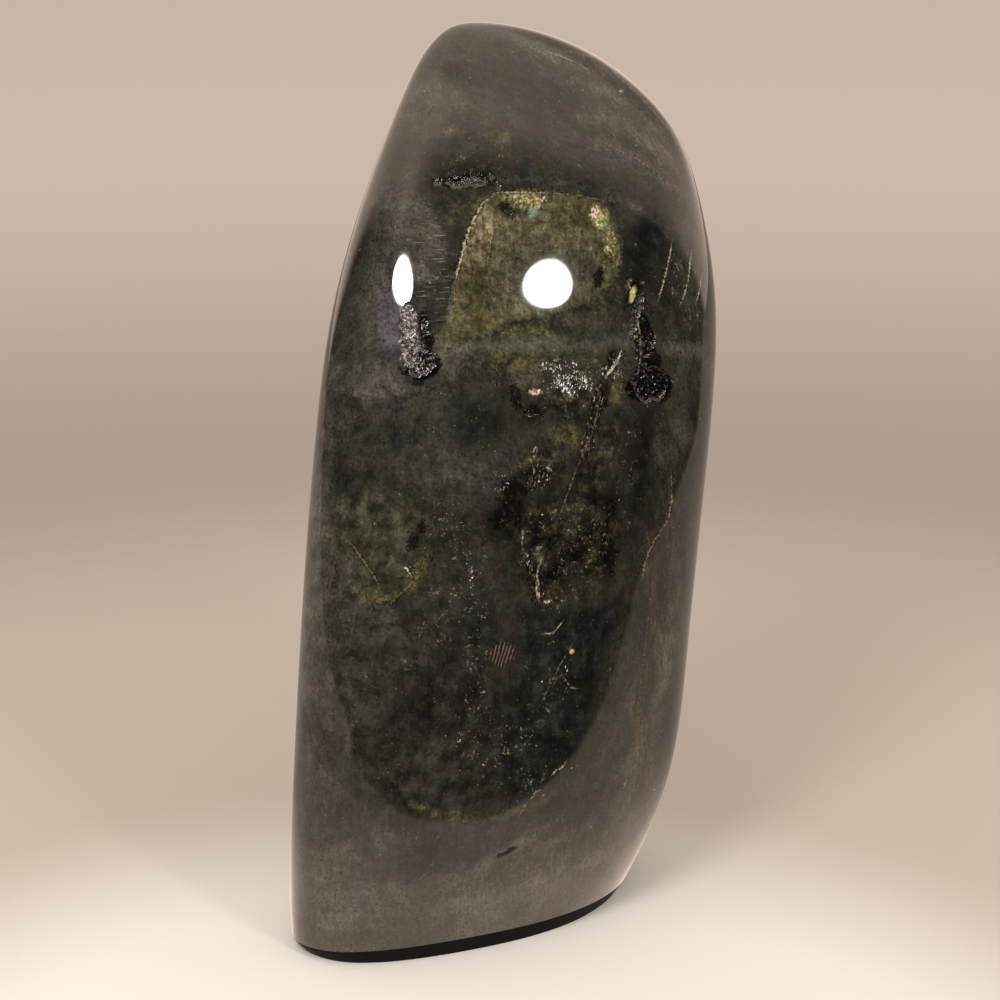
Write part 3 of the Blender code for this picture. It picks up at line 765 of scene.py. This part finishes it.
def paintSeams(add, colour, textures, reach):
    # healed cracks: beaded lines whose half width and tone the mesh carries
    side = add("Math ABSOLUTE", [reach["seamSide"]])
    near = add("MapRange", [reach["seamDistance"], 0.8 * seams["nearby"], seams["nearby"], 1.0, 0.0])
    near = add("Math MULTIPLY", [near, add("MapRange", [textures["crumb"], *seams["gaps"]])])
    waver = add("Math MULTIPLY_ADD", [textures["fine"], *seams["waver"]])
    inSeam = add("Math SUBTRACT", [add("Math MULTIPLY", [reach["seamWidth"], waver]), side])
    mask = add("Math MULTIPLY", [add("MapRange", [inSeam, *seams["edge"]]), near])
    shadeWidth = add("Math MULTIPLY", [reach["seamWidth"], seams["shadeWidth"]])
    beside = add("Math SUBTRACT", [add("Math MULTIPLY", [shadeWidth, textures["grit"]]), side])
    shade = add("MapRange", [beside, *seams["shadeEdge"]])
    colour = add("Mix RGBA", {0: shade, 6: colour, 7: linear(seams["shade"])})
    paint = setRamp(add("ValToRGB", [reach["seamTone"]]), seams["tones"])
    return add("Mix RGBA", {0: mask, 6: colour, 7: paint})


def polishedLabradorite():
    material, add, place = newMaterial("polished labradorite")
    look = labradorite
    textures = stoneTextures(add, place)
    names = {name for name, *_ in areas + bands} | {*spots, *seamValues, "pitDepth"}
    reach = {name: add("Attribute", attribute_name=name).outputs["Fac"] for name in sorted(names)}

    def within(mark, ragged, soft, outside, inside):
        # goes from one value outside a mark to another inside it, over its ragged edge
        edge = add("Math MULTIPLY_ADD", [textures["ragged"], ragged, reach[mark]])
        return add("MapRange SMOOTHSTEP", [edge, -soft, soft, outside, inside])

    colour = setRamp(add("ValToRGB", [textures["tint"]]), look["tints"])
    colour = paintZones(add, colour, textures, within)
    colour = shaded(add, colour, textures)
    colour = paintSpecks(add, colour, textures, within)
    colour = paintGrains(add, colour, place, within)
    colour = paintSeams(add, colour, textures, reach)

    # where grains broke out the surface is all small facets, which glitter most where the pit is grey
    inPit = add("MapRange SMOOTHSTEP", [reach["pitDepth"], *look["tornFrom"]])
    crushed = add("MapRange", [reach["tornGrey"], *look["crushed"]])
    facets = add("TexVoronoi", {"Vector": place, "Scale": 1 / look["facetSize"]})
    height = add("Math MULTIPLY", [add("Math MULTIPLY", [inPit, crushed]), facets])
    shader = add("BsdfPrincipled", {
        "Base Color": colour,
        "Roughness": add("Math MULTIPLY_ADD", [inPit, look["tornRoughness"], look["polish"]]),
        "IOR": look["ior"],
        "Normal": add("Bump", {"Strength": 1.0, "Distance": look["facetRelief"] * mm, "Height": height}),
    })
    add("OutputMaterial", {"Surface": shader})
    return material


# Labradorite as the saw and the coarse wheel left it under the foot: dull and finely scored, and nearly
# black as a painted shade of the gap under the stone's bottom edge.

sawnFootInShade = {
    # near black: painted shade of the gap under the stone's edge, over a dull sawn face
    "colours": "0.35 #060507, 0.65 #0e0c10",
    "roughness": 0.8,
    "shine": 0.1,
    "sawPitch": 1.2,
    "sawRelief": 0.05,
}


def sawnLabradoriteInShade():
    material, add, place = newMaterial("sawn labradorite in painted shade")
    mottle = add("TexNoise", {"Vector": place, "Scale": 0.6, "Detail": 4.0})
    scored = add("VectorMath MULTIPLY", [place, (1 / sawnFootInShade["sawPitch"], 0.04, 0.04)])
    lines = add("TexNoise", {"Vector": scored, "Scale": 2.0, "Detail": 2.0})
    shader = add("BsdfPrincipled", {
        "Base Color": setRamp(add("ValToRGB", [mottle]), sawnFootInShade["colours"]),
        "Roughness": sawnFootInShade["roughness"],
        "Specular IOR Level": sawnFootInShade["shine"],
        "Normal": add("Bump", {"Strength": 0.6, "Distance": sawnFootInShade["sawRelief"] * mm, "Height": lines}),
    })
    add("OutputMaterial", {"Surface": shader})
    return material


def buildStone():
    mesh = roundedForm([polishedLabradorite(), sawnLabradoriteInShade()])
    refineStone(mesh)
    sunk = carve(mesh)
    markStone(mesh, sunk)
    mesh.name = "polished stone"
    mesh.transform(Matrix.Scale(mm, 4))
    piece = addObject("polished_stone", mesh)
    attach(piece, "root")
    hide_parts("labradorite_stone")
    return piece


# The floor, in millimetres: a painted pool of light, white in front of the stone and a dimmer beige further
# out. The stone mirrors only the paper on it, so the lower edge of the dark room stays sharp.

floorLook = {
    "radius": 900.0,
    "litPoolMiddle": (0.0, -62.0, 0.0),
    "litPoolRadius": 60.0,
    "dimPaperRadius": 112.0,
    "white": "#f2e9de",
    "beige": "#c9b9ab",
    "fade": (110.0, 220.0),
    "mirrored": "#ffe6d2",
    "paperFront": ((-0.1, 1.0), -64.0),  # a direction, and how far along it the paper begins
    "paperCorners": [(40.0, -65.0), (-21.0, -190.0), (-156.0, -300.0)],
    "paperRight": 258.0,
    "paperBack": ((-0.41, 0.91), 24.0),
    "paperGlow": [(25.0, 1.42), (70.0, 0.8), (170.0, 0.44)],  # distance from the middle, and how bright
    "paperEdge": 0.035,  # half the width of its soft edge, as a share of how far out it is
    "offPaper": 0.02,
    "behind": (5.0, 45.0, 0.42),  # behind the stone: from where to where its glow changes, and to what
}


def floorMaterial():
    material, add, place = newMaterial("pale paper")
    look = floorLook
    axes = add("SeparateXYZ", [place]).outputs
    fromStone = add("VectorMath LENGTH", [place])
    fromLitPool = add("VectorMath DISTANCE", [place, look["litPoolMiddle"]])
    # painted pool of light: white paper near the pool's middle, and a dimmer beige further out
    tone = add("MapRange SMOOTHSTEP", [fromLitPool, look["litPoolRadius"], look["dimPaperRadius"]])
    paint = add("Mix RGBA", {0: tone, 6: linear(look["white"]), 7: linear(look["beige"])})
    fade = add("MapRange SMOOTHSTEP", [fromStone, *look["fade"]])
    seen = add("MixShader", [fade, add("BsdfDiffuse", {"Color": paint}), add("BsdfTransparent")])

    # how far inside the paper each place is, as the polished face reflects it
    bounds = [look["paperFront"], look["paperBack"]]
    corners = [Vector(corner) for corner in look["paperCorners"]]
    for start, end in zip(corners, corners[1:]):
        across = Vector((end.y - start.y, start.x - end.x)).normalized()
        bounds.append((across, across.dot(start)))
    front, back, *left = (
        add("Math SUBTRACT", [add("VectorMath DOT_PRODUCT", [place, (*across, 0.0)]), begin])
        for across, begin in bounds
    )
    right = add("Math SUBTRACT", [look["paperRight"], axes["X"]])
    inside = add("Math MAXIMUM", [add("Math MINIMUM", left), front])
    inside = add("Math MAXIMUM", [add("Math MINIMUM", [inside, right]), back])
    inside = add("Math DIVIDE", [inside, fromStone])
    mask = add("MapRange SMOOTHSTEP", [inside, -look["paperEdge"], look["paperEdge"], look["offPaper"], 1.0])

    (nearest, glowThere), (middle, glowMiddle), (furthest, glowFar) = look["paperGlow"]
    glow = add("MapRange", [fromStone, nearest, middle, glowThere, glowMiddle])
    glow = add("MapRange", [fromStone, middle, furthest, glow, glowFar])
    beside, behind, glowBehind = look["behind"]
    glow = add("MapRange", [axes["Y"], beside, behind, glow, glowBehind])
    glow = add("Math MULTIPLY", [mask, glow])
    mirrored = add("Emission", {"Color": linear(look["mirrored"]), "Strength": glow})
    either = add("MixShader", [add("LightPath").outputs["Is Glossy Ray"], seen, mirrored])
    add("OutputMaterial", {"Surface": either})
    return material


def buildFloor():
    net = bmesh.new()
    bmesh.ops.create_circle(net, cap_ends=True, segments=96, radius=floorLook["radius"] * mm)
    mesh = bpy.data.meshes.new("floor")
    net.to_mesh(mesh)
    net.free()
    mesh.materials.append(floorMaterial())
    floor = addObject("floor", mesh)


# The room: a pale sweep behind, whose tones are painted light and shade, a pale ceiling, and darkness round
# the camera. The polished face shows its edges. Directions are unit vectors.

room = {
    "sweepSpan": (-0.440, -0.171),  # how far down the camera looks, as a sine, at the sweep's two ends
    # painted light and shade: near white low down where the floor is lit, darkest in the middle where the
    # backdrop lies in shade
    "sweep": "0 #efe6dc, 0.167 #d3c0b0, 0.286 #c1af9f, 0.387 #b6a496, 0.487 #ae9c8e, 0.587 #ae9c8e,"
             " 0.706 #c2b0a2, 0.836 #cebcad, 1 #c6b4a6",
    # edges of the dark part: the way out of it, and how far that way the glow is still none and is full
    "darkEdges": [
        ((0.15, 1.34, 1.0), -0.01, 0.16),
        ((-0.23, 0.57, 0.79), -0.01, 0.05),
        ((0.52, 0.57, 0.64), -0.08, 0.06),
    ],
    "darkGlow": 0.02,
    "ceilingGlow": 1.9,
    "ceilingLean": 0.25,
    "ceilingSpan": (0.3, 1.05),
    "sideSpan": (-0.45, 0.4),  # how far behind the stone a direction leads
    "sideGlow": (0.55, 1.45),
    "corner": (0.55, 0.66, 0.51),  # the room is darker towards here
    "cornerSpan": (0.87, 0.96),
    "cornerShare": 0.45,
    "mirrored": "#ffe3cf",
    "softLight": 0.8,
    "soft": "#fffaf4",
}


def buildRoom():
    world = bpy.data.worlds.new("room")
    bpy.context.scene.world = world
    world.use_nodes = True
    world.cycles.sampling_method = "NONE"
    world.node_tree.nodes.clear()
    add = partial(addNode, world.node_tree)
    direction = add("TexCoord").outputs["Generated"]
    axes = add("SeparateXYZ", [direction]).outputs

    sweep = setRamp(add("ValToRGB", [add("MapRange", [axes["Z"], *room["sweepSpan"]])]), room["sweep"])
    sweep.color_ramp.interpolation = "B_SPLINE"
    seen = add("Background", {"Color": sweep})

    mask = 1.0
    for edge, none, full in room["darkEdges"]:
        outwards = add("VectorMath DOT_PRODUCT", [direction, Vector(edge).normalized()])
        mask = add("Math MINIMUM", [mask, add("MapRange SMOOTHSTEP", [outwards, none, full])])
    upLeft = add("Math MULTIPLY_ADD", [axes["X"], -room["ceilingLean"], axes["Z"]])
    sideGlow = add("MapRange", [axes["Y"], *room["sideSpan"], *room["sideGlow"]])
    overhead = add("MapRange SMOOTHSTEP", [upLeft, *room["ceilingSpan"], sideGlow, room["ceilingGlow"]])
    towardsCorner = add("VectorMath DOT_PRODUCT", [direction, room["corner"]])
    share = add("MapRange", [towardsCorner, *room["cornerSpan"], 1.0, room["cornerShare"]])
    overhead = add("Math MULTIPLY", [overhead, share])
    glow = add("Mix FLOAT", {0: mask, 2: room["darkGlow"], 3: overhead})
    mirrored = add("Background", {"Color": linear(room["mirrored"]), "Strength": glow})

    soft = add("Background", {"Color": linear(room["soft"]), "Strength": room["softLight"]})
    path = add("LightPath").outputs
    lit = add("MixShader", [path["Is Glossy Ray"], soft, mirrored])
    add("OutputWorld", {"Surface": add("MixShader", [path["Is Camera Ray"], lit, seen])})


# Two oval lamps, in millimetres and degrees: where on the stone each is mirrored, its azimuth and elevation
# from there, its half sizes, and its turn in its own plane, so that the bulging face shows it round.

lamps = [
    ("right lamp", (13.6, 1.8, 94.1), 35.5, 33.5, (54.0, 33.0), 133.8),
    ("left lamp", (-7.0, -0.3, 95.3), -26.4, 44.4, (104.0, 36.0), 173.5),
]
lampLight = {"distance": 600.0, "glow": 40.0}


def aimed(azimuth, elevation):
    # azimuth 0 is towards the camera, and grows towards +X
    around, up = math.radians(azimuth), math.radians(elevation)
    return Vector((math.sin(around) * math.cos(up), -math.cos(around) * math.cos(up), math.sin(up)))


def buildLamps():
    for name, mirroredAt, azimuth, elevation, halves, roll in lamps:
        light = bpy.data.lights.new(name, "AREA")
        light.shape = "ELLIPSE"
        light.size, light.size_y = (2 * half * mm for half in halves)
        light.energy = lampLight["glow"] * math.pi**2 * math.prod(halves) * mm**2
        towards = aimed(azimuth, elevation)
        holder = addObject(name, light)
        holder.location = (Vector(mirroredAt) + towards * lampLight["distance"]) * mm
        facing = towards.to_track_quat("Z", "Y").to_matrix()
        holder.rotation_euler = (facing @ Matrix.Rotation(math.radians(roll), 3, "Z")).to_euler()
        holder.visible_camera = False


view = {"target": (6.7, 0.0, 63.0), "elevation": 18.0, "distance": 500.0, "lens": 126.0, "sensor": 36.0}


def buildCamera():
    data = bpy.data.cameras.new("camera")
    data.lens = view["lens"]
    data.sensor_width = view["sensor"]
    camera = addObject("camera", data)
    camera.location = (Vector(view["target"]) + aimed(0, view["elevation"]) * view["distance"]) * mm
    camera.rotation_euler = (math.radians(90 - view["elevation"]), 0, 0)
    bpy.context.scene.camera = camera


scene = bpy.context.scene
scene.view_settings.view_transform = "Standard"
scene.view_settings.look = "None"

buildCamera()
print("camera set")
piece = buildStone()
piece.data.calc_loop_triangles()
print("stone:", len(piece.data.loop_triangles), "triangles")
buildFloor()
buildRoom()
buildLamps()
print("floor, room and lamps set")
